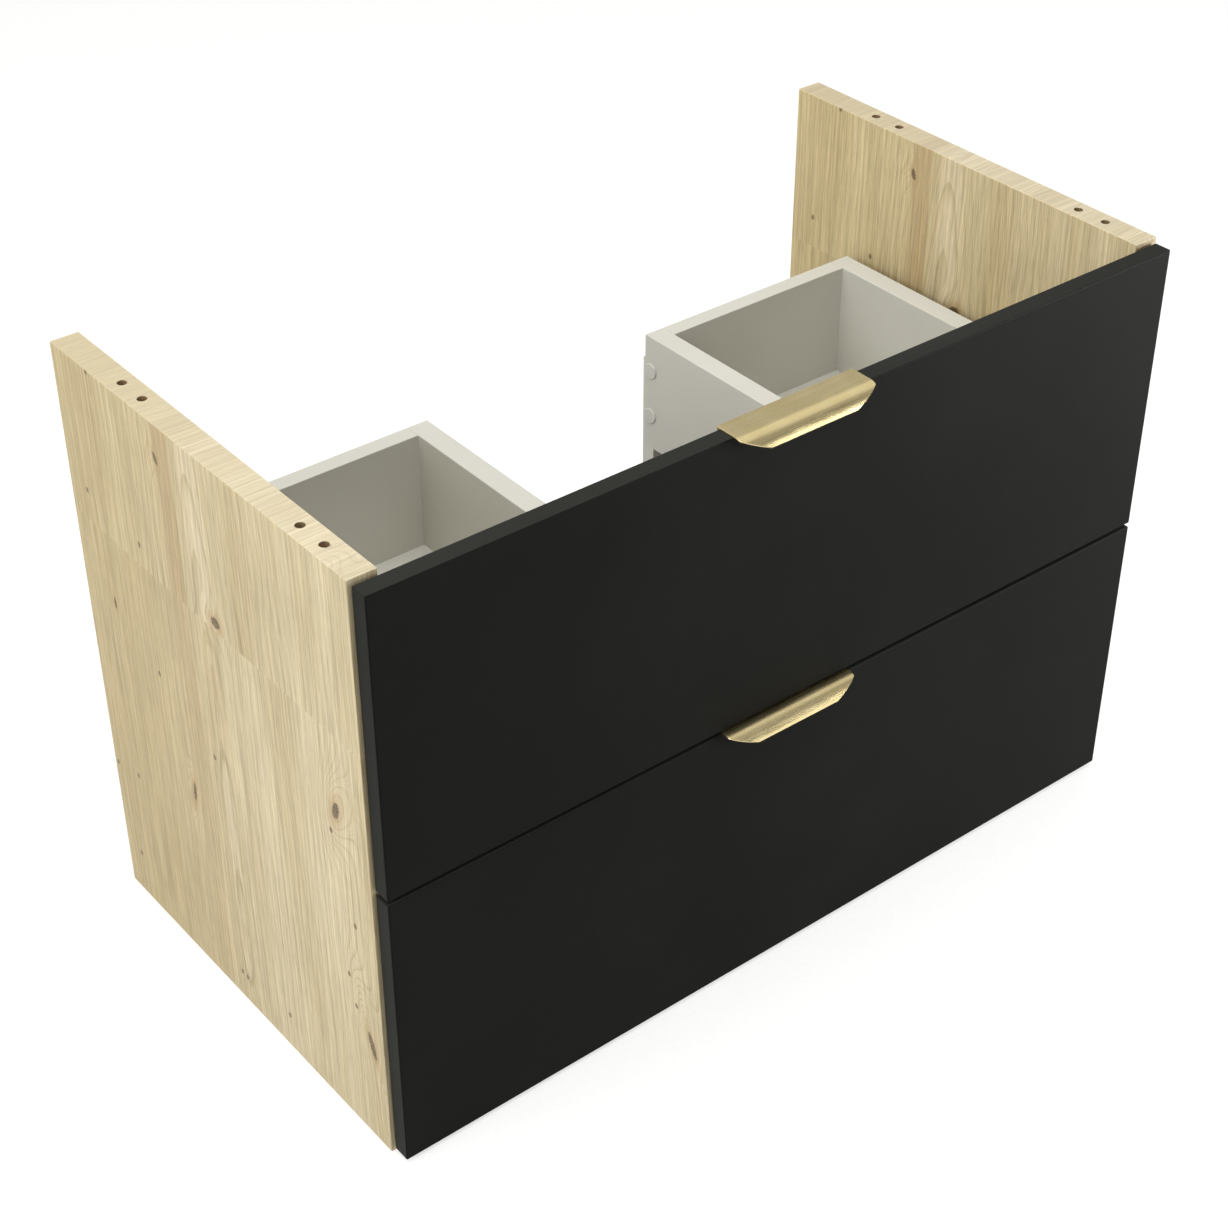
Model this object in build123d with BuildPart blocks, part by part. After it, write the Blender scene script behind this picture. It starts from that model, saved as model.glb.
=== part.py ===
from build123d import *
import os
from math import atan2, degrees, sin

# Wall-hung vanity cabinet with two drawers, in millimetres.
# +Z is up, the fronts face -Y, and the origin is under the middle of the cabinet's box.

# Carcass
WIDTH = 800
HEIGHT = 550
PANEL_DEPTH = 412
PANEL_T = 25
BOARD_T = 16
EDGE_EASE = 0.8
BACK_TOP = 330
SERVICE_WIDTH = 380
SERVICE_SILL = 125
SERVICE_CORNER = 12

# Fronts and their edge pulls
FRONT_T = 16
FRONT_GAP = 2
FRONT_SIDE_INSET = 2.5
FRONT_JOINT = 4
FRONT_EASE = 1.2
PULL_T = 2
PULL_REACH = 15.5
PULL_LENGTH = 135
PULL_X = -12
PULL_OVERHANG = 0.8
PULL_LIP = 12
PULL_CORNER = 25
PULL_CORNER_DROP = 2
PULL_BEVEL = 1
PULL_FLANGE = 22
PULL_SCREW_PITCH = 90
PULL_SCREW_LENGTH = 12

# Drawer boxes
RUNNER_SPACE = 13
SIDE_T = 20
BOX_DEPTH = 324
BOX_LIFT = 27
FLOOR_T = 4
FLOOR_REBATE = 8
UPPER_BOX_HEIGHT = 113
LOWER_BOX_HEIGHT = 165
SIPHON_WIDTH = 236
SIPHON_FRONT = 138
UPPER_SCREW_ROWS = (33, 79)
UPPER_CORNER_SCREW_ROWS = (12, 91)
LOWER_SCREW_ROWS = (14, 100, 145)
UPPER_FRONT_SCREW_ROWS = (30, 85)
LOWER_FRONT_SCREW_ROWS = (40, 125)
FRONT_SCREW_INSET = 70
FRONT_SCREW_LENGTH = 27

# Three-part ball-bearing runners
RUNNER_LENGTH = 300
RUNNER_SETBACK = 6
RUNNER_T = 1.2
RAIL_HALF_HEIGHT = 22.5
RAIL_REACH = 10.5
MIDDLE_GAP = 3.4
MIDDLE_HALF_HEIGHT = 20.5
MIDDLE_REACH = 7.6
SLIDER_HALF_HEIGHT = 17.5
SLIDER_REACH = 7
RAIL_SCREW_INSET = 22
RUNNER_SCREW_LENGTH = 15
BEND_R = 0.4
UPPER_RUNNER_RISE = 46
LOWER_RUNNER_RISE = 49

# Bores, screws and fittings
DOWEL_R = 4
DOWEL_DEPTH = 22
DOWEL_FRONT = (45, 75)
DOWEL_REAR = (291, 321)
JOINT_DOWEL_LENGTH = 30
JOINT_DOWEL_IN_PANEL = 12
JOINT_DOWEL_Y = (92, 318)
JOINT_DOWEL_Z = (102, 208)
CAM_Y = (60, 350)
CAM_Z = (70, 240)
FIT = 0.1
CAM_R = 7.5
CAM_DEPTH = 12.5
CAM_INSET = 24
CAM_SLOT = 1.4
CAM_SLOT_LENGTH = 9
CAM_SINK = 0.3
BOLT_R = 3.5
BOLT_TIP_R = 2.5
BOLT_TIP_LENGTH = 11
SCREW_R = 1.9
SCREW_HEAD_R = 3.6
SCREW_HEAD_T = 1.6
RECESS_DEPTH = 0.8
RECESS_ARM = 4
RECESS_SLOT = 0.8
BOX_SCREW_R = 2.5
BOX_SCREW_LENGTH = 45
BOX_SCREW_HEAD_R = 4.75
BOX_SCREW_HEAD_T = 2
CAP_R = 7.5
CAP_T = 1.4
BUFFER_R = 4
BUFFER_T = 1.6
BUFFER_EASE = 0.5
BUFFER_INSET = 25

# Hanging plates let into the back panel
PLATE_WIDTH = 64
PLATE_HEIGHT = 76
PLATE_T = 2
PLATE_X = 290
PLATE_Z = 272
KEYHOLE_R = 6
KEYHOLE_SLOT_R = 3.25
KEYHOLE_RISE = 14
HEAD_POCKET_DEPTH = 8
HEAD_POCKET_WIDTH = 24
HEAD_POCKET_HEIGHT = 44
PLATE_CORNER = 4
PLATE_SCREW_INSET = 9
PLATE_SCREW_LENGTH = 13
PLATE_SCREW_SINK = 0.2

# Planes that the parts share
DEPTH = PANEL_DEPTH + FRONT_GAP + FRONT_T + PULL_REACH
BACK_Y = DEPTH / 2
EDGE_Y = BACK_Y - PANEL_DEPTH
FRONT_Y = EDGE_Y - FRONT_GAP
FACE_Y = FRONT_Y - FRONT_T
INNER_X = WIDTH / 2 - PANEL_T
BOX_X = INNER_X - RUNNER_SPACE
BOX_INNER_X = BOX_X - SIDE_T
BOX_FRONT_Y = FRONT_Y + BOARD_T
BOX_REAR_Y = FRONT_Y + BOX_DEPTH
SIPHON_X = SIPHON_WIDTH / 2
SIPHON_Y = FRONT_Y + SIPHON_FRONT
FRONT_HEIGHT = (HEIGHT - 3 * FRONT_JOINT) / 2
LOWER_FRONT_Z = FRONT_JOINT
UPPER_FRONT_Z = FRONT_HEIGHT + 2 * FRONT_JOINT
UPPER_BOX_Z = UPPER_FRONT_Z + BOX_LIFT
LOWER_BOX_Z = LOWER_FRONT_Z + BOX_LIFT
UPPER_RUNNER_Z = UPPER_BOX_Z + UPPER_RUNNER_RISE
LOWER_RUNNER_Z = LOWER_BOX_Z + LOWER_RUNNER_RISE
RUNNER_Y = FRONT_Y + RUNNER_SETBACK
LIP_START_Y = FACE_Y - PULL_OVERHANG
BEVEL_START = 2 * atan2(PULL_LIP, PULL_REACH - PULL_OVERHANG)
LIP_R = (PULL_REACH - PULL_OVERHANG) / sin(BEVEL_START)
LIP_SWEEP = degrees(BEVEL_START + PULL_BEVEL / LIP_R)

os.makedirs("parts", exist_ok=True)


def save(piece, name):
    """Label one finished piece and write it under its node name."""
    piece.part.label = name
    export_step(piece.part, f"parts/{name}.step")


def block(x, y, z, mode=Mode.ADD):
    """Add or cut a box given its low and high limits along each axis."""
    with Locations(((x[0] + x[1]) / 2, (y[0] + y[1]) / 2, (z[0] + z[1]) / 2)):
        Box(x[1] - x[0], y[1] - y[0], z[1] - z[0], mode=mode)


def drill(mouths, outward, radius, depth):
    """Drill blind holes whose mouths look along outward."""
    with Locations(*[Plane(origin=mouth, z_dir=outward) for mouth in mouths]):
        Hole(radius=radius, depth=depth)


def screws(seats, outward, length):
    """Add pan-head screws: the head stands on its seat, the shank goes in, and a cross is cut in the head."""
    with Locations(*[Plane(origin=seat, z_dir=outward) for seat in seats]):
        Cylinder(SCREW_HEAD_R, SCREW_HEAD_T, align=(Align.CENTER, Align.CENTER, Align.MIN))
        Cylinder(SCREW_R, length, align=(Align.CENTER, Align.CENTER, Align.MAX))
        with Locations((0, 0, SCREW_HEAD_T)):
            Box(RECESS_ARM, RECESS_SLOT, RECESS_DEPTH * 2, mode=Mode.SUBTRACT)
            Box(RECESS_SLOT, RECESS_ARM, RECESS_DEPTH * 2, mode=Mode.SUBTRACT)


# ---------------------------------------------------------------- carcass

def cam_seats():
    """Yield side, edge point of the bolt, face point of the cam and that face's normal, for each cam."""
    for side in (-1, 1):
        for y in CAM_Y:
            yield (side, (side * INNER_X, EDGE_Y + y, BOARD_T / 2),
                   (side * (INNER_X - CAM_INSET), EDGE_Y + y, 0), (0, 0, -1))
        for z in CAM_Z:
            yield (side, (side * INNER_X, BACK_Y - BOARD_T / 2, z),
                   (side * (INNER_X - CAM_INSET), BACK_Y, z), (0, 1, 0))


def joint_dowel_seats():
    """Yield side and edge point of each wooden dowel between the boards and the side panels."""
    for side in (-1, 1):
        for y in JOINT_DOWEL_Y:
            yield side, (side * INNER_X, EDGE_Y + y, BOARD_T / 2)
        for z in JOINT_DOWEL_Z:
            yield side, (side * INNER_X, BACK_Y - BOARD_T / 2, z)


def side_panel(side, name):
    """Thick side board with dowel bores in its top edge for the worktop, and bores for the boards."""
    outer, inner = side * WIDTH / 2, side * INNER_X
    with BuildPart() as panel:
        block(sorted((outer, inner)), (EDGE_Y, BACK_Y), (0, HEIGHT))
        fillet(panel.edges(), EDGE_EASE)
        middle = (outer + inner) / 2
        tops = [(middle, EDGE_Y + y, HEIGHT) for y in DOWEL_FRONT + DOWEL_REAR]
        drill(tops, (0, 0, 1), DOWEL_R, DOWEL_DEPTH)
        bolts = [edge for at, edge, _, _ in cam_seats() if at == side]
        drill(bolts, (-side, 0, 0), BOLT_TIP_R + FIT, BOLT_TIP_LENGTH)
        dowels = [edge for at, edge in joint_dowel_seats() if at == side]
        drill(dowels, (-side, 0, 0), DOWEL_R + FIT, JOINT_DOWEL_IN_PANEL)
    save(panel, name)


def bore_board(board_on_back):
    """Cut the cam pockets, bolt bores and dowel bores of the bottom panel or of the back panel."""
    for side, edge, cam, normal in cam_seats():
        if (normal[1] > 0) == board_on_back:
            drill([cam], normal, CAM_R, CAM_DEPTH)
            drill([edge], (side, 0, 0), BOLT_R, CAM_INSET - CAM_R + 1)
    for side, edge in joint_dowel_seats():
        if (edge[2] > BOARD_T) == board_on_back:
            drill([edge], (side, 0, 0), DOWEL_R + FIT, JOINT_DOWEL_LENGTH - JOINT_DOWEL_IN_PANEL)


def hanging_plate_pocket(x):
    """Let one hanging plate into the back panel's rear face, with room for the wall screw's head."""
    rear = (BACK_Y - PLATE_T, BACK_Y)
    block((x - PLATE_WIDTH / 2, x + PLATE_WIDTH / 2), rear,
          (PLATE_Z - PLATE_HEIGHT / 2, PLATE_Z + PLATE_HEIGHT / 2), Mode.SUBTRACT)
    block((x - HEAD_POCKET_WIDTH / 2, x + HEAD_POCKET_WIDTH / 2), (BACK_Y - HEAD_POCKET_DEPTH, BACK_Y),
          (PLATE_Z - HEAD_POCKET_HEIGHT / 2, PLATE_Z + HEAD_POCKET_HEIGHT / 2), Mode.SUBTRACT)


side_panel(-1, "left_side_panel")
side_panel(1, "right_side_panel")

with BuildPart() as bottom_panel:
    block((-INNER_X, INNER_X), (EDGE_Y, BACK_Y), (0, BOARD_T))
    bore_board(board_on_back=False)
save(bottom_panel, "bottom_panel")

with BuildPart() as back_panel:
    block((-INNER_X, INNER_X), (BACK_Y - BOARD_T, BACK_Y), (BOARD_T, BACK_TOP))
    block((-SERVICE_WIDTH / 2, SERVICE_WIDTH / 2), (BACK_Y - BOARD_T, BACK_Y), (SERVICE_SILL, BACK_TOP),
          Mode.SUBTRACT)
    sill_corners = back_panel.edges().filter_by(Axis.Y).filter_by_position(
        Axis.Z, SERVICE_SILL - 1, SERVICE_SILL + 1)
    fillet(sill_corners, SERVICE_CORNER)
    bore_board(board_on_back=True)
    for plate_x in (-PLATE_X, PLATE_X):
        hanging_plate_pocket(plate_x)
save(back_panel, "back_panel")

PLATE_SCREW_X = PLATE_WIDTH / 2 - PLATE_SCREW_INSET
PLATE_SCREW_Z = PLATE_HEIGHT / 2 - PLATE_SCREW_INSET
plate_screw_seats = [
    (x + dx, BACK_Y - PLATE_T, PLATE_Z + dz)
    for x in (-PLATE_X, PLATE_X)
    for dx in (-PLATE_SCREW_X, PLATE_SCREW_X)
    for dz in (-PLATE_SCREW_Z, PLATE_SCREW_Z)
]


def hanging_plate(x, name):
    """Steel plate with a keyhole for the wall screw and four countersunk fixing holes."""
    with BuildPart() as plate:
        with BuildSketch(Plane.XZ.offset(-BACK_Y)):
            with Locations((x, PLATE_Z)):
                RectangleRounded(PLATE_WIDTH, PLATE_HEIGHT, PLATE_CORNER)
            with Locations((x, PLATE_Z - KEYHOLE_RISE / 2)):
                Circle(KEYHOLE_R, mode=Mode.SUBTRACT)
            with Locations((x, PLATE_Z)):
                SlotCenterToCenter(KEYHOLE_RISE, KEYHOLE_SLOT_R * 2, rotation=90, mode=Mode.SUBTRACT)
        extrude(amount=PLATE_T)
        corners = [(seat[0], BACK_Y, seat[2]) for seat in plate_screw_seats if abs(seat[0] - x) < PLATE_WIDTH]
        with Locations(*[Plane(origin=corner, z_dir=(0, 1, 0)) for corner in corners]):
            CounterSinkHole(SCREW_R + FIT, SCREW_HEAD_R, depth=PLATE_T, counter_sink_angle=90)
    save(plate, name)


hanging_plate(-PLATE_X, "left_hanging_plate")
hanging_plate(PLATE_X, "right_hanging_plate")

with BuildPart() as hanging_plate_screws:
    sunk_y = BACK_Y - PLATE_SCREW_SINK
    with Locations(*[Plane(origin=(x, sunk_y, z), z_dir=(0, -1, 0)) for x, _, z in plate_screw_seats]):
        Cone(SCREW_HEAD_R - 2 * FIT - PLATE_SCREW_SINK, SCREW_R - FIT, SCREW_HEAD_R - FIT - SCREW_R,
             align=(Align.CENTER, Align.CENTER, Align.MIN))
        Cylinder(SCREW_R - FIT, PLATE_SCREW_LENGTH, align=(Align.CENTER, Align.CENTER, Align.MIN))
save(hanging_plate_screws, "hanging_plate_screws")

with BuildPart() as cam_locks:
    for _, _, cam, normal in cam_seats():
        with Locations(Plane(origin=cam, z_dir=normal)):
            with Locations((0, 0, -CAM_SINK)):
                Cylinder(CAM_R - FIT, CAM_DEPTH - CAM_SINK - 2 * FIT,
                         align=(Align.CENTER, Align.CENTER, Align.MAX))
                Box(CAM_SLOT_LENGTH, CAM_SLOT, CAM_SLOT * 2, mode=Mode.SUBTRACT)
                Box(CAM_SLOT, CAM_SLOT_LENGTH, CAM_SLOT * 2, mode=Mode.SUBTRACT)
save(cam_locks, "cam_locks")

with BuildPart() as cam_bolts:
    for side, edge, _, _ in cam_seats():
        with Locations(Plane(origin=edge, z_dir=(side, 0, 0))):
            Cylinder(BOLT_R - FIT, CAM_INSET - CAM_R - FIT, align=(Align.CENTER, Align.CENTER, Align.MAX))
            Cylinder(BOLT_TIP_R, BOLT_TIP_LENGTH - FIT, align=(Align.CENTER, Align.CENTER, Align.MIN))
save(cam_bolts, "cam_bolts")

with BuildPart() as joint_dowels:
    for side, edge in joint_dowel_seats():
        with Locations(Plane(origin=edge, z_dir=(side, 0, 0))):
            with Locations((0, 0, JOINT_DOWEL_IN_PANEL - FIT)):
                Cylinder(DOWEL_R, JOINT_DOWEL_LENGTH - 2 * FIT, align=(Align.CENTER, Align.CENTER, Align.MAX))
save(joint_dowels, "joint_dowels")


# ---------------------------------------------------------------- runners

def channel(side, web, lip, half_height, height):
    """Add a C-section: a web standing at x = web and two flanges that reach to x = lip, mirrored by side."""
    inwards = 1 if lip > web else -1
    with BuildSketch(Plane.XZ.offset(-RUNNER_Y)) as section:
        with BuildLine():
            FilletPolyline(
                (side * lip, height + half_height), (side * web, height + half_height),
                (side * web, height - half_height), (side * lip, height - half_height),
                (side * lip, height - half_height + RUNNER_T),
                (side * (web + inwards * RUNNER_T), height - half_height + RUNNER_T),
                (side * (web + inwards * RUNNER_T), height + half_height - RUNNER_T),
                (side * lip, height + half_height - RUNNER_T), close=True, radius=BEND_R)
        make_face()
    extrude(section.sketch, amount=-RUNNER_LENGTH)


def runner_stations(height):
    """Screw stations along one runner, as y and z."""
    first = RUNNER_Y + RAIL_SCREW_INSET
    last = RUNNER_Y + RUNNER_LENGTH - RAIL_SCREW_INSET
    return [(y, height) for y in (first, (first + last) / 2, last)]


def runner(side, height, level):
    """Outer rail on the side panel, middle member, and slider on the drawer side."""
    hand = "left" if side < 0 else "right"
    rail_web = INNER_X
    with BuildPart() as rail:
        channel(side, rail_web, rail_web - RAIL_REACH, RAIL_HALF_HEIGHT, height)
        seats = [(side * (rail_web - RUNNER_T), y, z) for y, z in runner_stations(height)]
        drill(seats, (-side, 0, 0), SCREW_R + FIT, RUNNER_T)
    save(rail, f"{level}_{hand}_rail")

    middle_web = INNER_X - MIDDLE_GAP
    with BuildPart() as middle:
        channel(side, middle_web, middle_web - MIDDLE_REACH, MIDDLE_HALF_HEIGHT, height)
    save(middle, f"{level}_{hand}_middle_rail")

    with BuildPart() as slider:
        channel(side, BOX_X, BOX_X + SLIDER_REACH, SLIDER_HALF_HEIGHT, height)
        seats = [(side * (BOX_X + RUNNER_T), y, z) for y, z in runner_stations(height)]
        drill(seats, (side, 0, 0), SCREW_R + FIT, RUNNER_T)
    save(slider, f"{level}_{hand}_slider")


for runner_side in (-1, 1):
    runner(runner_side, UPPER_RUNNER_Z, "upper")
    runner(runner_side, LOWER_RUNNER_Z, "lower")

with BuildPart() as rail_screws:
    for side in (-1, 1):
        for height in (UPPER_RUNNER_Z, LOWER_RUNNER_Z):
            seats = [(side * (INNER_X - RUNNER_T), y, z) for y, z in runner_stations(height)]
            screws(seats, (-side, 0, 0), RUNNER_SCREW_LENGTH)
save(rail_screws, "rail_screws")


def slider_screws(height, name):
    """Screws that hold both sliders of one drawer to its sides."""
    with BuildPart() as group:
        for side in (-1, 1):
            seats = [(side * (BOX_X + RUNNER_T), y, z) for y, z in runner_stations(height)]
            screws(seats, (side, 0, 0), RUNNER_SCREW_LENGTH)
    save(group, name)


slider_screws(UPPER_RUNNER_Z, "upper_slider_screws")
slider_screws(LOWER_RUNNER_Z, "lower_slider_screws")


# ---------------------------------------------------------------- fronts and pulls

def drawer_front(low, name):
    """Flat slab front with eased edges."""
    half = WIDTH / 2 - FRONT_SIDE_INSET
    with BuildPart() as front:
        block((-half, half), (FACE_Y, FRONT_Y), (low, low + FRONT_HEIGHT))
        fillet(front.edges(), FRONT_EASE)
    save(front, name)


def pull_screw_seats(front_top):
    """Seats of the pull's screws on the rear of its flange."""
    return [(PULL_X + dx, FRONT_Y + PULL_T, front_top - PULL_FLANGE / 2)
            for dx in (-PULL_SCREW_PITCH / 2, PULL_SCREW_PITCH / 2)]


def edge_pull(front_top, name):
    """Bent sheet: flange behind the front, plate over its top edge, round lip with cut corners, bevelled."""
    top = front_top + PULL_T
    rear_y = FRONT_Y + PULL_T
    with BuildPart() as pull:
        with BuildSketch(Plane.YZ.offset(PULL_X - PULL_LENGTH / 2)):
            with BuildLine():
                outer = CenterArc((LIP_START_Y, top - LIP_R), LIP_R, 90, LIP_SWEEP)
                inner = CenterArc((LIP_START_Y, top - LIP_R), LIP_R - PULL_T, 90, LIP_SWEEP)
                Line(outer @ 1, inner @ 1)
                Polyline(inner @ 0, (FRONT_Y, front_top), (FRONT_Y, front_top - PULL_FLANGE),
                         (rear_y, front_top - PULL_FLANGE), (rear_y, top), outer @ 0)
            make_face()
        lip_z = (outer @ 1).Y
        extrude(amount=PULL_LENGTH)
        for side in (-1, 1):
            end = PULL_X + side * PULL_LENGTH / 2
            inset = end - side * PULL_CORNER
            with BuildSketch(Plane.XZ.offset(-LIP_START_Y)):
                with BuildLine():
                    Polyline((end, top - PULL_CORNER_DROP), (inset, lip_z), (inset, lip_z - PULL_T),
                             (end + side, lip_z - PULL_T), (end + side, top - PULL_CORNER_DROP), close=True)
                make_face()
            extrude(amount=PULL_REACH, mode=Mode.SUBTRACT)
        plate = pull.faces().sort_by(Axis.Z)[-1]
        lip = pull.faces().filter_by(GeomType.CYLINDER).sort_by(Axis.Y)[0]
        rim = [edge for edge in plate.edges() + lip.edges() if edge.center().Y < LIP_START_Y - FIT
               or abs(edge.center().X - PULL_X) > PULL_LENGTH / 2 - FIT]
        chamfer(rim, PULL_BEVEL)
        drill(pull_screw_seats(front_top), (0, 1, 0), SCREW_R + FIT, PULL_T)
    save(pull, name)


def pull_screws(front_top, name):
    """Short screws from behind into the front."""
    with BuildPart() as group:
        screws(pull_screw_seats(front_top), (0, 1, 0), PULL_SCREW_LENGTH)
    save(group, name)


def front_buffers(low, name):
    """Soft discs on the rear of a front, where it meets the side panels."""
    seats = [(side * (WIDTH / 2 - PANEL_T / 2), FRONT_Y, low + dz)
             for side in (-1, 1) for dz in (BUFFER_INSET, FRONT_HEIGHT - BUFFER_INSET)]
    with BuildPart() as buffers:
        with Locations(*[Plane(origin=seat, z_dir=(0, 1, 0)) for seat in seats]):
            Cylinder(BUFFER_R, BUFFER_T, align=(Align.CENTER, Align.CENTER, Align.MIN))
        rims = buffers.edges().filter_by(GeomType.CIRCLE).group_by(Axis.Y)[-1]
        fillet(rims, BUFFER_EASE)
    save(buffers, name)


for front_low, level in ((LOWER_FRONT_Z, "lower"), (UPPER_FRONT_Z, "upper")):
    drawer_front(front_low, f"{level}_front")
    edge_pull(front_low + FRONT_HEIGHT, f"{level}_pull")
    pull_screws(front_low + FRONT_HEIGHT, f"{level}_pull_screws")
    front_buffers(front_low, f"{level}_front_buffers")


# ---------------------------------------------------------------- drawer boxes

def drawer_floor(low, with_siphon, name):
    """Thin floor let into the walls' lower edges; the upper one is U-shaped."""
    with BuildPart() as floor:
        block((-BOX_X + FLOOR_REBATE, BOX_X - FLOOR_REBATE),
              (FRONT_Y + FLOOR_REBATE, BOX_REAR_Y - FLOOR_REBATE), (low, low + FLOOR_T))
        if with_siphon:
            block((-SIPHON_X - FLOOR_REBATE, SIPHON_X + FLOOR_REBATE), (SIPHON_Y - FLOOR_REBATE, BOX_REAR_Y),
                  (low, low + FLOOR_T), Mode.SUBTRACT)
    save(floor, name)
    return floor.part


def wall(x, y, z, floor, name):
    """One wall of a drawer box, with its rebate for the floor and softened upper edges."""
    with BuildPart() as board:
        block(x, y, z)
        fillet(board.edges().group_by(Axis.Z)[-1], EDGE_EASE)
        add(floor, mode=Mode.SUBTRACT)
    save(board, name)


def box_screws(seats_by_direction, name):
    """Long screws that join the walls, with their heads flush in the wall."""
    with BuildPart() as group:
        for outward, seats in seats_by_direction:
            with Locations(*[Plane(origin=seat, z_dir=outward) for seat in seats]):
                with Locations((0, 0, -FIT)):
                    Cylinder(BOX_SCREW_R, BOX_SCREW_LENGTH, align=(Align.CENTER, Align.CENTER, Align.MAX))
                    Cylinder(BOX_SCREW_HEAD_R, BOX_SCREW_HEAD_T,
                             align=(Align.CENTER, Align.CENTER, Align.MAX))
    save(group, name)


def cover_caps(seats_by_direction, name):
    """Round caps over the screw heads, with a rounded rim."""
    with BuildPart() as caps:
        for outward, seats in seats_by_direction:
            with Locations(*[Plane(origin=seat, z_dir=outward) for seat in seats]):
                Cylinder(CAP_R, CAP_T / 2, align=(Align.CENTER, Align.CENTER, Align.MIN))
                with Locations((0, 0, CAP_T / 2)):
                    Cone(CAP_R, CAP_R - CAP_T / 2, CAP_T / 2, align=(Align.CENTER, Align.CENTER, Align.MIN))
    save(caps, name)


def front_screws(low, heights, name):
    """Screws through the box's front wall that hold the front."""
    screw_x = BOX_INNER_X - FRONT_SCREW_INSET
    seats = [(x, BOX_FRONT_Y, low + z) for x in (-screw_x, screw_x) for z in heights]
    with BuildPart() as group:
        screws(seats, (0, 1, 0), FRONT_SCREW_LENGTH)
    save(group, name)


# Upper box: two compartments either side of the siphon space, and a shallow one in front of it.
upper_z = (UPPER_BOX_Z, UPPER_BOX_Z + UPPER_BOX_HEIGHT)
inner_wall_x = SIPHON_X + SIDE_T
upper_floor = drawer_floor(UPPER_BOX_Z, True, "upper_floor")
for side, hand in ((-1, "left"), (1, "right")):
    wall(sorted((side * BOX_X, side * BOX_INNER_X)), (FRONT_Y, BOX_REAR_Y), upper_z, upper_floor,
         f"upper_{hand}_side")
    wall(sorted((side * SIPHON_X, side * inner_wall_x)), (BOX_FRONT_Y, BOX_REAR_Y), upper_z, upper_floor,
         f"upper_{hand}_inner_wall")
    wall(sorted((side * inner_wall_x, side * BOX_INNER_X)), (BOX_REAR_Y - BOARD_T, BOX_REAR_Y), upper_z,
         upper_floor, f"upper_{hand}_rear_wall")
wall((-SIPHON_X, SIPHON_X), (SIPHON_Y - BOARD_T, SIPHON_Y), upper_z, upper_floor, "upper_cross_wall")
wall((-BOX_INNER_X, BOX_INNER_X), (FRONT_Y, BOX_FRONT_Y), upper_z, upper_floor, "upper_front_wall")

REAR_Y = BOX_REAR_Y - BOARD_T / 2
CROSS_Y = SIPHON_Y - BOARD_T / 2
upper_rows = [UPPER_BOX_Z + rise for rise in UPPER_SCREW_ROWS]
upper_corner_rows = [UPPER_BOX_Z + rise for rise in UPPER_CORNER_SCREW_ROWS]
upper_capped = []
for side in (-1, 1):
    upper_capped.append(((side, 0, 0), [(side * BOX_X, REAR_Y, z) for z in upper_rows]
                         + [(side * BOX_X, FRONT_Y + BOARD_T / 2, z) for z in upper_corner_rows]
                         + [(side * inner_wall_x, CROSS_Y, z) for z in upper_rows]))
    upper_capped.append(((-side, 0, 0), [(side * SIPHON_X, REAR_Y, z) for z in upper_rows]))
upper_hidden = [((0, -1, 0), [(side * (SIPHON_X + SIDE_T / 2), FRONT_Y, z)
                              for side in (-1, 1) for z in upper_rows])]
box_screws(upper_capped + upper_hidden, "upper_box_screws")
cover_caps(upper_capped, "upper_cover_caps")
front_screws(UPPER_BOX_Z, UPPER_FRONT_SCREW_ROWS, "upper_front_screws")

# Lower box: one plain tray.
lower_z = (LOWER_BOX_Z, LOWER_BOX_Z + LOWER_BOX_HEIGHT)
lower_floor = drawer_floor(LOWER_BOX_Z, False, "lower_floor")
for side, hand in ((-1, "left"), (1, "right")):
    wall(sorted((side * BOX_X, side * BOX_INNER_X)), (FRONT_Y, BOX_REAR_Y), lower_z, lower_floor,
         f"lower_{hand}_side")
wall((-BOX_INNER_X, BOX_INNER_X), (BOX_REAR_Y - BOARD_T, BOX_REAR_Y), lower_z, lower_floor, "lower_rear_wall")
wall((-BOX_INNER_X, BOX_INNER_X), (FRONT_Y, BOX_FRONT_Y), lower_z, lower_floor, "lower_front_wall")

lower_rows = [LOWER_BOX_Z + rise for rise in LOWER_SCREW_ROWS]
lower_capped = []
for side in (-1, 1):
    seats = [(side * BOX_X, y, z) for y in (FRONT_Y + BOARD_T / 2, REAR_Y) for z in lower_rows]
    lower_capped.append(((side, 0, 0), seats))
box_screws(lower_capped, "lower_box_screws")
cover_caps(lower_capped, "lower_cover_caps")
front_screws(LOWER_BOX_Z, LOWER_FRONT_SCREW_ROWS, "lower_front_screws")
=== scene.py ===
import bpy
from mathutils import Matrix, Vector


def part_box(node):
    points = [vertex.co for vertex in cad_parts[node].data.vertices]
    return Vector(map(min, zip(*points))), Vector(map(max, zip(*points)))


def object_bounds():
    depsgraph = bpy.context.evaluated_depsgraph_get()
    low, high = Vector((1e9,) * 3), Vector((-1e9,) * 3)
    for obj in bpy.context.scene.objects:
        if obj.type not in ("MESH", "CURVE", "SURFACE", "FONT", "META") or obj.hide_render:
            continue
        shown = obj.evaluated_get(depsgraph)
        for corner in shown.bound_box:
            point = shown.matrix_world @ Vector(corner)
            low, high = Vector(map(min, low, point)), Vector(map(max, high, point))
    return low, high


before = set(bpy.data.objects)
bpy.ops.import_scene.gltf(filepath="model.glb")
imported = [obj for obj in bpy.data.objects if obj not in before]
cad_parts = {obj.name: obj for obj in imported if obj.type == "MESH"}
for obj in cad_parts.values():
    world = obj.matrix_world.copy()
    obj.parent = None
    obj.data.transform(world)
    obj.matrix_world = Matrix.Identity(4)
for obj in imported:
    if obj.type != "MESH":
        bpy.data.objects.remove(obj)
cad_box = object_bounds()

# Lengths are metres. On the side panels, "across" is the distance from the cabinet's middle towards the
# rear, and "along" is the height above its underside.

# ---------------------------------------------------------------- oak decor

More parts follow.
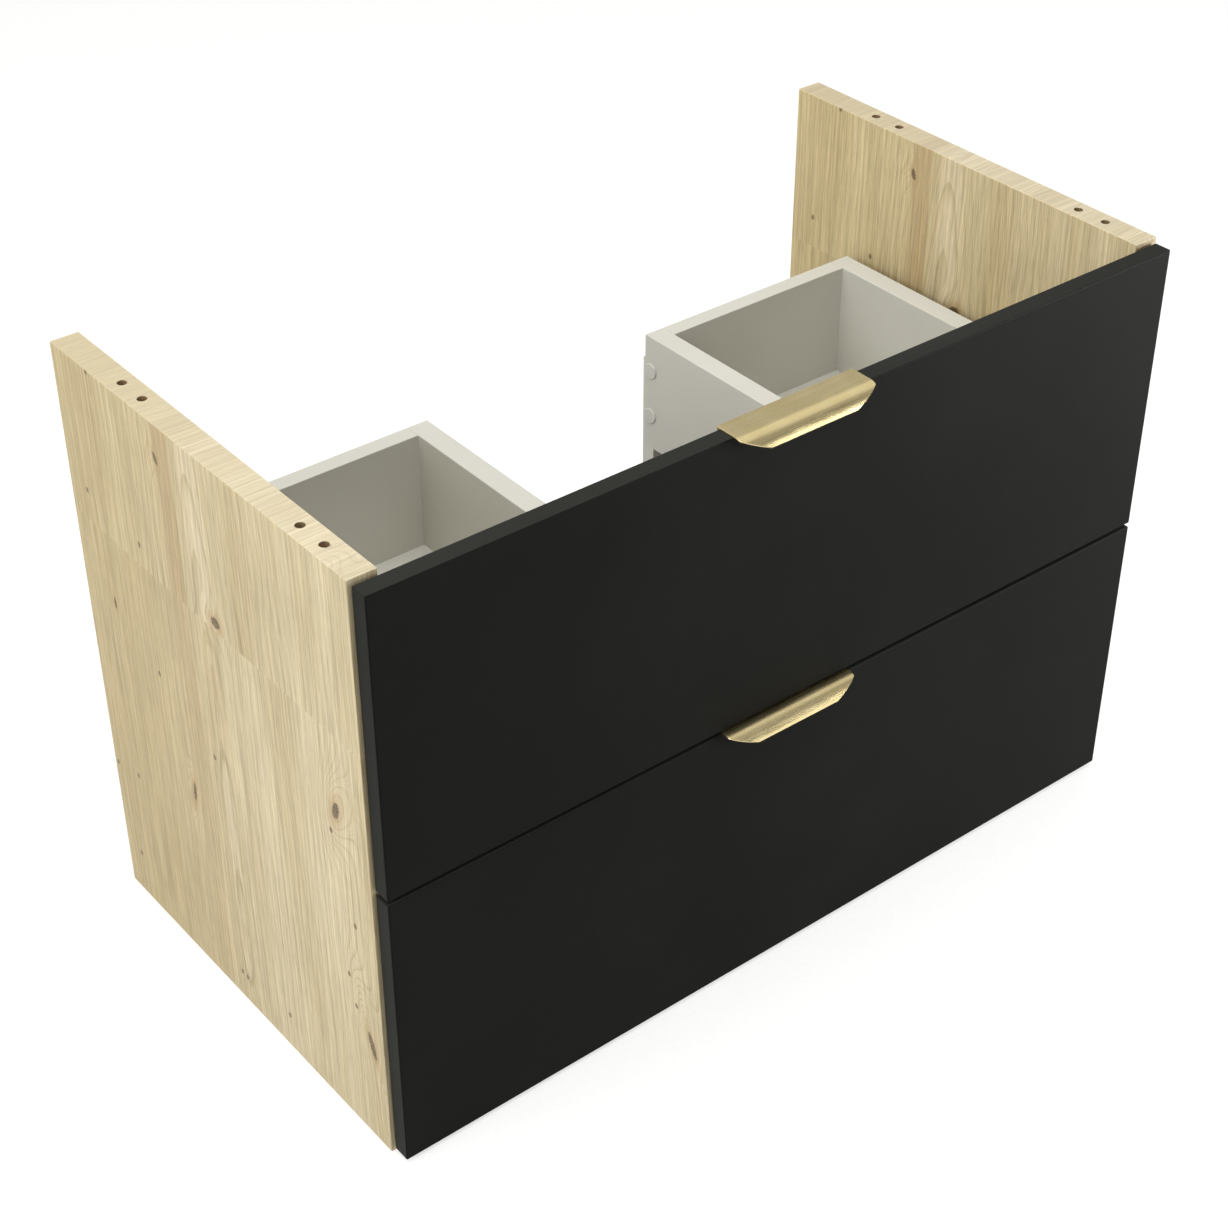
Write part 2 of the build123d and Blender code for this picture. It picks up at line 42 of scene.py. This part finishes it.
BUTT_JOINT = 0.3993  # height at which the lower row of staves meets the upper one
ROW_SHIFT = 3.7  # how far apart the two rows lie in the log
HEART = 0.0227  # where the middle of the log crosses the board
HEART_SHIFT = -0.006  # and how far it moves from there in the lower row
PITH = 0.015  # rounds the tips of the arches
TAPER, TAPER_DROP = 0.112, 0.090  # how fast the rings climb, and how much less in the lower row
RINGS = 127.0  # per metre
FINE_RINGS = 3.7  # thin lines for each ring

KNOTS = (  # across, along, half width, half height, lean, lift of the rings
    (0.0035, 0.4072, 0.0068, 0.0058, 0.0, 0.010),
    (-0.149, 0.3262, 0.0052, 0.0098, 0.22, 0.050),
    (-0.1735, 0.105, 0.0042, 0.0150, -0.26, 0.075),
    (0.0675, 0.5195, 0.0030, 0.0060, -0.25, 0.012),
    (0.1739, 0.331, 0.0022, 0.0068, 0.0, 0.012),
    (0.0747, 0.198, 0.0026, 0.0120, 0.10, 0.018),
)
PIN_KNOTS = (  # across, along
    (0.1107, 0.297), (0.1147, 0.419), (0.1947, 0.429), (0.032, 0.261), (-0.163, 0.223),
    (-0.1477, 0.163), (-0.1545, 0.134), (0.180, 0.147), (0.198, 0.047), (0.0227, 0.029),
    (-0.045, 0.038), (-0.140, 0.302), (0.1655, 0.549), (0.217, 0.139), (0.0307, 0.030),
)
SEAMS = (  # single dark grain lines: across at the middle, middle, half length, slope, strength
    (-0.0130, 0.270, 0.290, 0.000, 0.75),
    (0.1710, 0.252, 0.085, 0.015, 0.55),
    (0.0730, 0.335, 0.064, 0.010, 0.60),
    (-0.1590, 0.225, 0.075, 0.130, 0.60),
    (-0.1690, 0.235, 0.070, 0.070, 0.35),
    (-0.1640, 0.480, 0.060, -0.080, 0.45),
    (0.0400, 0.470, 0.060, -0.050, 0.35),
    (-0.1080, 0.440, 0.040, 0.020, 0.30),
)
SEAM_HALF_WIDTH = 0.0017
FLAME_AT, FLAME_HALF = (0.0167, 0.150), (0.0095, 0.124)  # place and half size of the pale flame
STREAK_AT = 0.058  # the brown streak beside the heart
STAVE_SCALE, STAVE_START = 2.4, 0.46  # these turn across into a share of the board's width
# each stave's start as such a share, and its tone
UPPER_STAVES = ((0.0, 0.60), (0.22, 0.52), (0.40, 0.60), (0.645, 0.50), (0.80, 0.40), (0.93, 0.34))
LOWER_STAVES = ((0.0, 0.60), (0.30, 0.64), (0.46, 0.50), (0.63, 0.46), (0.86, 0.40))
PANEL_SKIN = 0.0005  # what lies deeper than this under a panel's faces is raw core

OAK_TONES = (
    (0.12, (0.375, 0.278, 0.142)), (0.36, (0.455, 0.368, 0.210)),
    (0.60, (0.525, 0.443, 0.278)), (0.88, (0.580, 0.503, 0.332)),
)
# painted shade: the decor darker and yellower towards the rear
REAR_PAINTED_SHADE = (0.900, 0.870, 0.770)
# painted light: faces that look inwards paler
INWARD_PAINTED_LIGHT = (1.15, 1.14, 1.10)
PALE_WOOD = (0.600, 0.505, 0.350)
# painted light: top edges paler
TOP_PAINTED_LIGHT = (0.560, 0.505, 0.380)
BROWN_STREAK = (0.345, 0.225, 0.105)
LATE_WOOD = (0.375, 0.300, 0.150)
THIN_LINE = (0.385, 0.280, 0.140)
SEAM_BROWN = (0.310, 0.260, 0.130)
KNOT_HALO = (0.380, 0.250, 0.115)
KNOT_HEART = (0.060, 0.038, 0.016)
PIN_BROWN = (0.120, 0.072, 0.034)
CORE_GLUE, CORE_CHIP = (0.300, 0.190, 0.095), (0.36, 0.24, 0.13)

# ---------------------------------------------------------------- studio

FLOOR_REACH = 30.0
FLOOR_DROP = 0.0005
GLOW = 0.58  # how brightly the floor shines by itself
SKY = 0.62  # the studio above and behind the cabinet
HORIZON = 0.16  # the studio low in front of it
SKYWARD = (0.0, 0.5, 0.866)  # the direction from the dark to the bright
SKY_SPAN = (-0.10, 0.80)  # where along it the change starts and ends
SOFTBOXES = (  # name, place, width and height, power in watts
    ("ceiling", (-0.5, 0.3, 3.2), (3.0, 3.0), 68.0),
    ("far_left", (-3.2, -0.4, 1.6), (2.2, 1.8), 58.0),
    ("high_left", (-0.9, -1.5, 3.0), (1.2, 1.2), 24.0),
    ("high_right", (1.75, -0.05, 3.2), (2.2, 2.2), 6.5),
    ("low_right", (2.3, -1.75, 0.45), (0.9, 0.8), 115.0),
)
CAMERA_PLACE = (-1.05006, -1.28466, 1.42685)
CAMERA_HEADING = (0.5074, 0.6352, -0.5822)
CAMERA_LENS, CAMERA_SENSOR = 68.78, 36.0  # millimetres
CAMERA_CLIP = (0.05, 100.0)

# ---------------------------------------------------------------- material graphs

NODE_WIDTH, NODE_HEIGHT, NODES_IN_ROW = 220, 200, 12


class Field:
    """A node's output that takes arithmetic: each operation adds the node that works it out."""

    def __init__(self, graph, socket):
        self.graph = graph
        self.socket = socket

    def __add__(self, other):
        return self.graph.math("ADD", self, other)

    def __sub__(self, other):
        return self.graph.math("SUBTRACT", self, other)

    def __rsub__(self, other):
        return self.graph.math("SUBTRACT", other, self)

    def __mul__(self, other):
        return self.graph.math("MULTIPLY", self, other)

    __radd__ = __add__

    def __abs__(self):
        return self.graph.math("ABSOLUTE", self)

    def __lt__(self, other):
        return self.graph.math("LESS_THAN", self, other)

    def __gt__(self, other):
        return self.graph.math("GREATER_THAN", self, other)


class Graph:
    """One material's node tree, built a node at a time."""

    def __init__(self, name):
        self.material = bpy.data.materials.new(name)
        self.material.use_nodes = True
        self.tree = self.material.node_tree
        self.shader = self.tree.nodes["Principled BSDF"]
        self.place = self.field("ShaderNodeTexCoord", output="Object")
        self.normal = self.field("ShaderNodeTexCoord", output="Normal")

    def node(self, kind, inputs=None, **settings):
        made = self.tree.nodes.new(kind)
        row, column = divmod(len(self.tree.nodes), NODES_IN_ROW)
        made.location = (-NODE_WIDTH * column, -NODE_HEIGHT * row)
        for key, value in settings.items():
            setattr(made, key, value)
        for key, value in (inputs or {}).items():
            self.feed(made.inputs[key], value)
        return made

    def field(self, kind, inputs=None, output=0, **settings):
        """A new node's output."""
        return Field(self, self.node(kind, inputs, **settings).outputs[output])

    def feed(self, socket, value):
        """Links a field to a socket, or sets a number, a direction or a colour on it."""
        if isinstance(value, Field):
            self.tree.links.new(value.socket, socket)
        elif socket.type == "RGBA":
            socket.default_value = (*value, 1.0)
        else:
            socket.default_value = value

    def math(self, operation, first, second=0.0):
        return self.field("ShaderNodeMath", {0: first, 1: second}, operation=operation)

    def least(self, fields):
        """The smallest of several fields."""
        smallest, *others = fields
        for other in others:
            smallest = self.math("MINIMUM", smallest, other)
        return smallest

    def axes(self, vector):
        split = self.node("ShaderNodeSeparateXYZ", {0: vector})
        return [Field(self, socket) for socket in split.outputs]

    def point(self, x, y, z=0.0):
        return self.field("ShaderNodeCombineXYZ", {0: x, 1: y, 2: z})

    def scaled(self, vector, scale, offset):
        """vector times scale, plus offset."""
        return self.field(
            "ShaderNodeVectorMath", {0: vector, 1: scale, 2: offset}, operation="MULTIPLY_ADD"
        )

    def noise(self, vector, scale=1.0, detail=2.0, roughness=0.5, distortion=0.0):
        inputs = {
            "Vector": vector, "Scale": scale, "Detail": detail,
            "Roughness": roughness, "Distortion": distortion,
        }
        return self.field("ShaderNodeTexNoise", inputs, output="Fac")

    def grain(self, across, along, fine, long, layer=0.0, detail=2.0, roughness=0.5):
        """Noise drawn out along the wood: fine and long are its frequencies across and along."""
        return self.noise(self.point(across * fine, along * long, layer), 1.0, detail, roughness)

    def soft(self, value, low, high, to_low=0.0, to_high=1.0):
        """A smooth step of value from low to high, mapped to to_low..to_high."""
        inputs = {
            "Value": value, "From Min": low, "From Max": high, "To Min": to_low, "To Max": to_high,
        }
        return self.field("ShaderNodeMapRange", inputs, interpolation_type="SMOOTHSTEP")

    def ramp(self, value, stops, interpolation="LINEAR"):
        made = self.node("ShaderNodeValToRGB", {0: value})
        band = made.color_ramp
        band.interpolation = interpolation
        while len(band.elements) < len(stops):
            band.elements.new(0.5)
        for element, (position, colour) in zip(band.elements, stops):
            element.position = position
            element.color = (*colour, 1.0)
        return Field(self, made.outputs[0])

    def mix(self, amount, first, second, blend="MIX"):
        made = self.node("ShaderNodeMix", {"Factor": amount}, data_type="RGBA", blend_type=blend)
        colours = [socket for socket in made.inputs if socket.type == "RGBA"]
        for socket, value in zip(colours, (first, second)):
            self.feed(socket, value)
        return Field(self, [socket for socket in made.outputs if socket.type == "RGBA"][0])

    def tint(self, colour, factors):
        return self.mix(1.0, colour, factors, "MULTIPLY")

    def shade(self, colour, amount):
        """colour times a grey factor."""
        return self.tint(colour, self.field("ShaderNodeCombineColor", {0: amount, 1: amount, 2: amount}))

    def bump(self, height, distance, strength):
        return self.field("ShaderNodeBump", {"Height": height, "Distance": distance, "Strength": strength})

    def finish(self, **inputs):
        for key, value in inputs.items():
            self.feed(self.shader.inputs[key.replace("_", " ")], value)
        return self.material


# ---------------------------------------------------------------- oak


def around_knots(oak, across, plane):
    """The grain pushed aside by the knots, the lift of its rings, and how near the nearest knot is."""
    flow, hills, reaches = across, [], []
    for at, up, wide, high, lean, lift in KNOTS:
        side, rise, _ = oak.axes(oak.scaled(plane, (1 / wide, 1 / high, 1), (-at / wide, -up / high, 0)))
        side = side + rise * (lean * high / wide)
        reach = oak.math("SQRT", side * side + rise * rise)
        reaches.append(reach)
        fall = oak.math("EXPONENT", reach * reach * -0.16)
        flow = flow - side * fall * (wide * 0.8)
        hills.append(oak.math("EXPONENT", reach * reach * -0.075) * lift)
    return flow, sum(hills), oak.least(reaches)


def growth_rings(oak, from_heart, shifted, along, lower_row, hills):
    """Late wood and thin lines of the rings: nested arches at the heart, upright lines beside it."""
    radius = oak.math("SQRT", from_heart * from_heart + PITH**2)
    unrest = oak.grain(shifted, along, 30.0, 11.0, 2.0, 3.0)
    ring = radius + along * (TAPER - lower_row * TAPER_DROP) + hills + (unrest - 0.5) * 0.0045
    turns = ring * RINGS + 0.52

    phase = oak.math("FRACT", turns)
    late = oak.soft(phase, 0.60, 0.93) * oak.soft(phase, 1.0, 0.95)
    late = late * oak.soft(oak.grain(shifted, along, 26.0, 3.0, 8.0), 0.34, 0.60, 0.15, 1.0)

    phase = oak.math("FRACT", turns * FINE_RINGS)
    thin = oak.soft(phase, 0.45, 0.90) * oak.soft(phase, 1.0, 0.94)
    thin = thin * oak.soft(oak.grain(shifted, along, 34.0, 2.4, 6.0), 0.40, 0.62, 0.05, 1.0)
    return late, thin


def stave_colour(oak, across, shifted, along, lower_row, clouds):
    """Staves that differ a little in tone, with broad bands and clouds in them, and painted shade that
    makes them darker and yellower towards the rear.
    """
    place_in_width = across * STAVE_SCALE + STAVE_START
    rows = [
        oak.ramp(place_in_width, [(start, (tone,) * 3) for start, tone in staves], "CONSTANT")
        for staves in (UPPER_STAVES, LOWER_STAVES)
    ]
    bands = oak.grain(shifted, along, 24.0, 1.3, 1.0, 2.0, 0.55)
    tone = oak.mix(lower_row, *rows) * 0.55 + (bands * 0.62 + clouds * 0.34) - 0.26
    colour = oak.ramp(tone, OAK_TONES)
    # painted shade: darker and yellower towards the rear
    return oak.mix(oak.soft(across, -0.05, 0.17), colour, oak.tint(colour, REAR_PAINTED_SHADE))


def pale_parts(oak, from_heart, warped, along, lower_row):
    """The pale heart of the upper row and the pale flame of the lower one, and the flame's outline."""
    scale = (1 / FLAME_HALF[0], 1 / FLAME_HALF[1], 1)
    offset = (-FLAME_AT[0] / FLAME_HALF[0], -FLAME_AT[1] / FLAME_HALF[1], 0)
    wide, tall, _ = oak.axes(oak.scaled(oak.point(warped, along), scale, offset))
    lens = wide * wide + oak.math("POWER", abs(tall), 4.0)
    heart = oak.soft(abs(from_heart), 0.024, 0.008) * (1.0 - lower_row)
    pale = oak.math("MAXIMUM", heart, oak.soft(lens, 1.0, 0.7) * 0.9)
    return pale, oak.soft(abs(lens - 1.0), 0.30, 0.05)


def brown_streak(oak, across, along, drift, clouds, streaks):
    """A long brown streak beside the heart, which fades downwards."""
    beside = abs(across + drift * 0.6 - STREAK_AT)
    brown = oak.soft(beside, 0.014, 0.008) * oak.soft(clouds, 0.25, 0.60, 0.35, 1.0)
    return brown * (oak.soft(along, 0.08, 0.42, 0.45, 1.0) + oak.soft(streaks, 0.4, 0.6, -0.2, 0.2))


def dark_lines(oak, outline, warped, along):
    """The flame's outline and the seams."""
    dark = outline
    for at, up, half, slope, strength in SEAMS:
        rise = along - up
        off = abs(warped + rise * -slope - at)
        length = oak.soft(abs(rise), half, half * 0.8)
        seam = oak.soft(off, SEAM_HALF_WIDTH, 0.0003) * length * strength
        dark = oak.math("MAXIMUM", dark, seam)
    return dark


def pin_knots(oak, plane):
    """How strongly the nearest pin knot colours the wood."""
    reaches = []
    for at, up in PIN_KNOTS:
        local = oak.scaled(plane, (1, 0.72, 1), (-at, -0.72 * up, 0))
        reaches.append(oak.field("ShaderNodeVectorMath", {0: local}, "Value", operation="LENGTH"))
    ragged = oak.least(reaches) + (oak.noise(oak.place, 800.0, 3.0) - 0.5) * 0.0018
    return oak.soft(ragged, 0.0026, 0.0013)


def inside_panel(oak, x, y, z):
    """1 where the surface lies inside the panel's own faces, as in a bore."""
    low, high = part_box("right_side_panel")
    inside = 1.0
    for axis, first, last in ((abs(x), low.x, high.x), (y, low.y, high.y), (z, low.z, high.z)):
        inside = (abs(axis - (first + last) / 2) < (last - first) / 2 - PANEL_SKIN) * inside
    return inside


def oak_board():
    """Artisan oak decor: upright staves, rings, streaks, pores and knots, and raw core in the bores."""
    oak = Graph("artisan_oak")
    x, y, z = oak.axes(oak.place)
    nx, ny, nz = oak.axes(oak.normal)
    on_top = abs(nz) > 0.7
    on_edge = abs(ny) > 0.7
    across = y + x * on_edge
    along = z + x * on_top
    plane = oak.point(across, along)

    flow, hills, nearest_knot = around_knots(oak, across, plane)
    lower_row = along + oak.noise(oak.place, 60.0) * 0.0006 < BUTT_JOINT
    shifted = flow + lower_row * ROW_SHIFT
    sweep = oak.grain(shifted, along, 9.0, 1.8)
    wander = oak.grain(shifted, along, 38.0, 9.0, 5.0, 3.0)
    drift = (sweep - 0.5) * 0.010 + (wander - 0.5) * 0.004
    warped = flow + drift
    from_heart = warped - (lower_row * HEART_SHIFT + HEART)

    in_row = warped + lower_row * 2.0
    strands = oak.grain(in_row, along, 330.0, 6.0, 0.0, 4.0, 0.66)
    streaks = oak.grain(in_row, along, 760.0, 9.0, 7.0, 3.0, 0.6)
    fibres = oak.grain(warped, along, 1900.0, 40.0, 3.0, 2.0, 0.6)
    clouds = oak.grain(shifted, along, 14.0, 7.0, 4.0, 4.0)

    colour = stave_colour(oak, across, shifted, along, lower_row, clouds)
    pale, outline = pale_parts(oak, from_heart, warped, along, lower_row)
    colour = oak.mix(pale * 0.45, colour, PALE_WOOD)
    brown = brown_streak(oak, across, along, drift, clouds, streaks)
    colour = oak.mix(brown * 0.48, colour, BROWN_STREAK)
    late, thin = growth_rings(oak, from_heart, shifted, along, lower_row, hills)
    colour = oak.mix(late * 0.62, colour, LATE_WOOD)
    colour = oak.mix(thin * 0.50, colour, THIN_LINE)
    colour = oak.mix(dark_lines(oak, outline, warped, along) * 0.62, colour, SEAM_BROWN)
    colour = oak.shade(colour, oak.soft(strands, 0.30, 0.70, 0.82, 1.12))
    colour = oak.shade(colour, oak.soft(streaks, 0.34, 0.62, 0.84, 1.07))
    colour = oak.shade(colour, oak.soft(fibres, 0.36, 0.46, 0.80, 1.0))

    # a knot is a ragged dark heart with lighter rays, inside a narrow brown halo
    ragged = nearest_knot + (oak.noise(oak.place, 520.0, 4.0, 0.7) - 0.5) * 1.1
    colour = oak.mix(oak.soft(ragged, 2.6, 0.9) * 0.50, colour, KNOT_HALO)
    rays = oak.grain(y, z, 1100.0, 420.0)
    knot_heart = oak.soft(ragged, 1.0, 0.72) * oak.soft(rays, 0.35, 0.62, 1.0, 0.72)
    colour = oak.mix(knot_heart * 0.95, colour, KNOT_HEART)
    colour = oak.mix(pin_knots(oak, plane) * 0.85, colour, PIN_BROWN)

    # faces that look inwards are painted a little paler and top edges paler still, both as painted light;
    # front and rear edges darker
    inward = x * nx < -0.1
    # painted light: faces that look inwards paler
    colour = oak.mix(inward, colour, oak.tint(colour, INWARD_PAINTED_LIGHT))
    # painted light: top edges paler
    colour = oak.mix(on_top * 0.40, colour, TOP_PAINTED_LIGHT)
    colour = oak.shade(colour, 1.0 - on_edge * 0.22)

    inside = inside_panel(oak, x, y, z)
    chips = oak.field("ShaderNodeTexVoronoi", {"Vector": oak.place, "Scale": 900.0}, "Color")
    colour = oak.mix(inside, colour, oak.mix(0.45, CORE_GLUE, oak.tint(CORE_CHIP, chips)))

    height = strands * 0.5 + (fibres * 0.4 + knot_heart * -0.6)
    return oak.finish(
        Base_Color=colour, Roughness=oak.soft(strands, 0.2, 0.8, 0.60, 0.50) + inside * 0.3,
        Specular_IOR_Level=0.35, Normal=oak.bump(height, 0.00025, 0.6),
    )


# ---------------------------------------------------------------- the other materials


def melamine(name, colour, fleck, roughness=0.55):
    """Light melamine board: an even, faintly mottled colour with a fine pearl texture."""
    board = Graph(name)
    mottle = board.noise(board.place, 14.0, 3.0)
    grit = board.noise(board.place, 1800.0, 2.0, 0.6)
    base = board.mix(board.soft(mottle, 0.3, 0.7, 0.0, 0.5), colour, fleck)
    pearl = board.noise(board.place, 900.0, 3.0, 0.55)
    wear = board.noise(board.place, 5.0, 4.0)
    return board.finish(
        Base_Color=board.shade(base, board.soft(grit, 0.3, 0.7, 0.97, 1.03)),
        Roughness=board.soft(wear, 0.3, 0.7, roughness - 0.05, roughness + 0.06),
        Specular_IOR_Level=0.35, Normal=board.bump(pearl, 0.00008, 0.5),
    )


def matt_front():
    """Near-black super-matt board whose edges are painted lighter than its face as painted light, with
    painted shade on its upright edges.
    """
    front = Graph("matt_anthracite")
    nx, ny, _ = front.axes(front.normal)
    cloud = front.soft(front.noise(front.place, 4.5, 4.0), 0.3, 0.7)
    face = front.mix(cloud, (0.0030, 0.0031, 0.0023), (0.0044, 0.0045, 0.0034))
    # painted light: the edges get a lighter colour than the face
    band = front.mix(cloud, (0.0170, 0.0174, 0.0150), (0.0200, 0.0205, 0.0178))
    # painted shade: the upright edges are darkened
    band = front.shade(band, 1.1 - abs(nx) * 0.35)
    grit = front.noise(front.place, 1500.0, 2.0, 0.6)
    base = front.shade(front.mix(abs(ny) < 0.6, face, band), front.soft(grit, 0.3, 0.7, 0.88, 1.12))
    handled = front.noise(front.place, 2.6, 5.0, 0.6, 0.4)
    grain = front.noise(front.place, 1100.0, 3.0, 0.55)
    return front.finish(
        Base_Color=base, Roughness=front.soft(handled, 0.3, 0.7, 0.48, 0.58),
        Specular_IOR_Level=0.042, Normal=front.bump(grain, 0.00006, 0.5),
    )


def brushed_brass():
    """Brass sheet brushed along its length."""
    brass = Graph("brushed_brass")
    x, y, z = brass.axes(brass.place)
    girth, slant = y + z, y - z
    lines = brass.noise(brass.point(x * 60.0, girth * 4200.0, slant * 2100.0), 1.0, 3.0, 0.6)
    broad = brass.noise(brass.point(x * 22.0, girth * 500.0, slant * 240.0), 1.0, 3.0, 0.6)
    patina = brass.soft(brass.noise(brass.place, 38.0, 4.0), 0.3, 0.7)
    base = brass.mix(patina, (0.650, 0.530, 0.270), (0.700, 0.585, 0.315))
    base = brass.shade(base, brass.soft(lines, 0.2, 0.8, 0.94, 1.05))
    base = brass.shade(base, brass.soft(broad, 0.2, 0.8, 0.97, 1.03))
    return brass.finish(
        Base_Color=base, Metallic=1.0, Anisotropic=0.35,
        Roughness=brass.soft(lines, 0.2, 0.8, 0.22, 0.28) + brass.soft(broad, 0.3, 0.7, -0.02, 0.03),
        Tangent=brass.field("ShaderNodeTangent", direction_type="RADIAL", axis="X"),
        Normal=brass.bump(lines, 0.00002, 0.35),
    )


def metal(name, colour, roughness, blotch=0.12, rolled=False):
    """Plated or cast metal with blotches and fine scratches, and long drawing marks if it was rolled."""
    steel = Graph(name)
    warmth = steel.soft(steel.noise(steel.place, 18.0, 3.0), 0.3, 0.7)
    cool = tuple(value * factor for value, factor in zip(colour, (0.97, 1.0, 1.04)))
    warm = tuple(value * factor for value, factor in zip(colour, (1.03, 1.0, 0.95)))
    cloud = steel.noise(steel.place, 55.0, 4.0, 0.6)
    base = steel.mix(warmth, cool, warm)
    base = steel.shade(base, steel.soft(cloud, 0.3, 0.7, 1.0 - blotch, 1.0 + blotch))
    grain = steel.noise(steel.place, 2200.0, 2.0, 0.6)
    height = grain
    if rolled:
        x, y, z = steel.axes(steel.place)
        marks = steel.noise(steel.point(x * 2400.0, y * 18.0, z * 2400.0), 1.0, 3.0, 0.6)
        base = steel.shade(base, steel.soft(marks, 0.3, 0.7, 0.93, 1.05))
        height = grain + marks
    rough = steel.soft(cloud, 0.3, 0.7, roughness - 0.05, roughness + 0.08) + (grain - 0.5) * 0.06
    return steel.finish(
        Base_Color=base, Metallic=1.0, Roughness=rough, Normal=steel.bump(height, 0.00004, 0.5)
    )


def beech():
    """Turned beech dowel: fine grain along X with short dark flecks."""
    dowel = Graph("beech")
    x, y, z = dowel.axes(dowel.place)
    grain = dowel.noise(dowel.point(x * 30.0, y * 900.0, z * 900.0), 1.0, 4.0, 0.6)
    fleck = dowel.noise(dowel.point(x * 260.0, y * 2600.0, z * 2600.0), 1.0, 2.0)
    base = dowel.mix(dowel.soft(grain, 0.3, 0.7), (0.500, 0.330, 0.180), (0.640, 0.470, 0.290))
    base = dowel.mix(dowel.soft(fleck, 0.60, 0.68, 0.0, 0.5), base, (0.300, 0.170, 0.080))
    return dowel.finish(
        Base_Color=base, Roughness=dowel.soft(grain, 0.3, 0.7, 0.55, 0.68),
        Normal=dowel.bump(grain, 0.0001, 0.6),
    )


def rubber():
    """Clear soft rubber dot, a little cloudy."""
    dot = Graph("clear_rubber")
    cloud = dot.noise(dot.place, 180.0, 3.0)
    return dot.finish(
        Base_Color=dot.mix(dot.soft(cloud, 0.3, 0.7), (0.66, 0.66, 0.62), (0.76, 0.76, 0.73)),
        Roughness=dot.soft(cloud, 0.3, 0.7, 0.22, 0.34), Transmission_Weight=0.35, IOR=1.45,
        Normal=dot.bump(dot.noise(dot.place, 700.0), 0.00005, 0.4),
    )


FINISHES = {
    "oak_board": oak_board(),
    "light_board": melamine("light_board", (0.514, 0.503, 0.444), (0.484, 0.472, 0.410)),
    "drawer_board": melamine("drawer_board", (0.514, 0.503, 0.444), (0.488, 0.476, 0.414)),
    "drawer_floor": melamine("drawer_floor", (0.526, 0.515, 0.456), (0.498, 0.486, 0.426), 0.50),
    "cover_cap": melamine("cover_cap", (0.502, 0.491, 0.436), (0.472, 0.461, 0.410), 0.38),
    "dark_front": matt_front(),
    "brushed_brass": brushed_brass(),
    "beech_dowel": beech(),
    "zinc_cast": metal("zinc_cast", (0.46, 0.46, 0.45), 0.42),
    "fastener_steel": metal("fastener_steel", (0.56, 0.56, 0.55), 0.30),
    "runner_steel": metal("runner_steel", (0.60, 0.61, 0.61), 0.32, 0.08, rolled=True),
    "plate_steel": metal("plate_steel", (0.55, 0.55, 0.54), 0.36, 0.10, rolled=True),
    "clear_rubber": rubber(),
}

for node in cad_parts.values():
    slots = node.data.materials
    for index, old in enumerate(slots):
        slots[index] = FINISHES[old.name]

# ---------------------------------------------------------------- floor, light and camera


def paper():
    """Seamless white studio paper with faint fibres, which shines a little by itself."""
    sheet = Graph("studio_paper")
    fibre = sheet.noise(sheet.place, 260.0, 3.0)
    return sheet.finish(
        Base_Color=sheet.mix(sheet.soft(fibre, 0.3, 0.7), (0.39, 0.39, 0.385), (0.41, 0.41, 0.405)),
        Roughness=0.9, Specular_IOR_Level=0.1, Emission_Color=(1.0, 1.0, 0.985),
        Emission_Strength=GLOW, Normal=sheet.bump(fibre, 0.0002, 0.3),
    )


def floor():
    """A broad floor just under the cabinet."""
    mesh = bpy.data.meshes.new("studio_floor")
    height = cad_box[0].z - FLOOR_DROP
    corners = [(-1, -1), (1, -1), (1, 1), (-1, 1)]
    mesh.from_pydata([(x * FLOOR_REACH, y * FLOOR_REACH, height) for x, y in corners], [], [(0, 1, 2, 3)])
    mesh.materials.append(paper())
    made = bpy.data.objects.new("studio_floor", mesh)
    bpy.context.scene.collection.objects.link(made)


def facing(heading):
    """The rotation of a light or a camera that looks along heading."""
    return heading.to_track_quat("-Z", "Y").to_euler()


def softbox(name, place, size, power):
    """A soft rectangular light, aimed at the cabinet's middle."""
    light = bpy.data.lights.new(name, "AREA")
    light.shape = "RECTANGLE"
    light.size, light.size_y = size
    light.energy = power
    made = bpy.data.objects.new(name, light)
    made.location = place
    made.rotation_euler = facing((cad_box[0] + cad_box[1]) / 2 - Vector(place))
    made.visible_camera = False
    bpy.context.scene.collection.objects.link(made)


def studio():
    """A world that is dark low in front of the cabinet and bright above and behind it."""
    world = bpy.data.worlds.new("studio")
    world.use_nodes = True
    tree = world.node_tree
    heading = tree.nodes.new("ShaderNodeTexCoord")
    upward = tree.nodes.new("ShaderNodeVectorMath")
    upward.operation = "DOT_PRODUCT"
    upward.inputs[1].default_value = SKYWARD
    strength = tree.nodes.new("ShaderNodeMapRange")
    strength.interpolation_type = "SMOOTHSTEP"
    for key, value in zip(("From Min", "From Max", "To Min", "To Max"), (*SKY_SPAN, HORIZON, SKY)):
        strength.inputs[key].default_value = value
    tree.links.new(heading.outputs["Generated"], upward.inputs[0])
    tree.links.new(upward.outputs["Value"], strength.inputs["Value"])
    tree.links.new(strength.outputs[0], tree.nodes["Background"].inputs["Strength"])
    tree.nodes["Background"].inputs["Color"].default_value = (1.0, 1.0, 0.99, 1.0)
    bpy.context.scene.world = world


def camera():
    """A camera in front of the cabinet, to its left and above it, which looks down into the drawer."""
    optics = bpy.data.cameras.new("camera")
    optics.sensor_width = CAMERA_SENSOR
    optics.lens = CAMERA_LENS
    optics.clip_start, optics.clip_end = CAMERA_CLIP
    made = bpy.data.objects.new("camera", optics)
    made.location = CAMERA_PLACE
    made.rotation_euler = facing(Vector(CAMERA_HEADING))
    bpy.context.scene.collection.objects.link(made)
    bpy.context.scene.camera = made


floor()
for box in SOFTBOXES:
    softbox(*box)
studio()
camera()
bpy.context.scene.view_settings.view_transform = "Standard"
